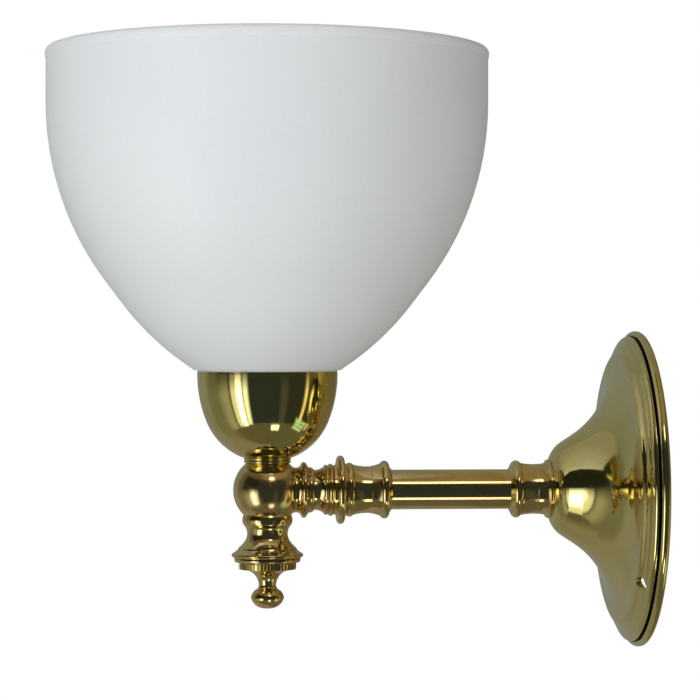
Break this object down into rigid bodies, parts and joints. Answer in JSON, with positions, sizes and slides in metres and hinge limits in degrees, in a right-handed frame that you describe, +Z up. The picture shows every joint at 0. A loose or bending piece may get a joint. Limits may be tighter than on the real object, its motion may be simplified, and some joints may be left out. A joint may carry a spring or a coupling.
{
  "type": "wall uplighter",
  "caption": "Wall uplighter: a turned brass arm on a round back plate carries an upright opal glass bowl over a ball, a small cup and a bell-shaped finial.",
  "frame": {"origin": "centre of the back plate's rim, on the wall", "axes": "+X into the wall, +Z up; the light stands out from the wall along -X"},
  "size_m": [0.2161, 0.16, 0.2165],
  "materials": {
    "polished_brass": "polished and lacquered brass",
    "plain_brass": "unlacquered, hidden",
    "zinc_steel": "zinc plated",
    "opal_glass": "glossy opal",
    "holder_plastic": "moulded phenolic",
    "ceramic": "unglazed steatite",
    "block_plastic": "moulded",
    "bush_plastic": "moulded",
    "gasket_rubber": "matt silicone",
    "brown_insulation": "extruded",
    "blue_insulation": "extruded",
    "green_insulation": "extruded"
  },
  "bodies": {
    "fixture": {"backplate": "polished_brass", "wall_collar": "polished_brass", "arm_tube": "polished_brass", "outer_collar": "polished_brass", "flange_ring": "polished_brass", "neck_spool": "polished_brass", "ball": "polished_brass", "cup_ring": "polished_brass", "lamp_cup": "polished_brass", "terminal_clamps": "plain_brass", "lamp_terminals": "plain_brass", "screw_shell": "plain_brass", "back_washer": "zinc_steel", "terminal_strap": "zinc_steel", "earth_tag": "zinc_steel", "lock_washer": "zinc_steel", "back_nut": "zinc_steel", "clamp_screws": "zinc_steel", "block_screws": "zinc_steel", "arm_rod": "zinc_steel", "finial_stem": "zinc_steel", "cup_washer": "zinc_steel", "cup_nut": "zinc_steel", "head_rod": "zinc_steel", "terminal_screws": "zinc_steel", "shade": "opal_glass", "holder_cap": "holder_plastic", "holder_skirt": "holder_plastic", "holder_insert": "ceramic", "terminal_block": "block_plastic", "wire_bush": "bush_plastic", "shade_gasket": "gasket_rubber", "live_wire": "brown_insulation", "neutral_wire": "blue_insulation", "earth_wire": "green_insulation"},
    "cap": {"bell_cap": "polished_brass"},
    "finial": {"finial_nut": "polished_brass"},
    "washer": {"shade_washer": "zinc_steel"},
    "ring": {"shade_ring": "holder_plastic"},
    "contact": {"centre_contact": "plain_brass"}
  },
  "joints": [
    {"name": "cap_drop", "type": "slide", "parent": "fixture", "child": "cap", "axis": [0, 0, -1], "range_m": [0, 0.005]},
    {"name": "finial_turn", "type": "hinge", "parent": "cap", "child": "finial", "pos_m": [-0.1361, 0, -0.0243], "axis": [0, 0, -1], "range_deg": [0, 1800]},
    {"name": "washer_lift", "type": "slide", "parent": "fixture", "child": "washer", "axis": [0, 0, 1], "range_m": [0, 0.015]},
    {"name": "ring_turn", "type": "hinge", "parent": "washer", "child": "ring", "pos_m": [-0.1361, 0, 0.04783], "axis": [0, 0, 1], "range_deg": [0, 2160]},
    {"name": "contact_press", "type": "hinge", "parent": "fixture", "child": "contact", "pos_m": [-0.1391, 0, 0.04075], "axis": [0, 1, 0], "range_deg": [0, 10], "stiffness_Nm_per_rad": 0.243}
  ],
  "couplings": [
    {"joint": "finial_turn", "follows": "cap_drop", "rad_per_m": 6283.2},
    {"joint": "ring_turn", "follows": "washer_lift", "rad_per_m": 2513.3}
  ]
}
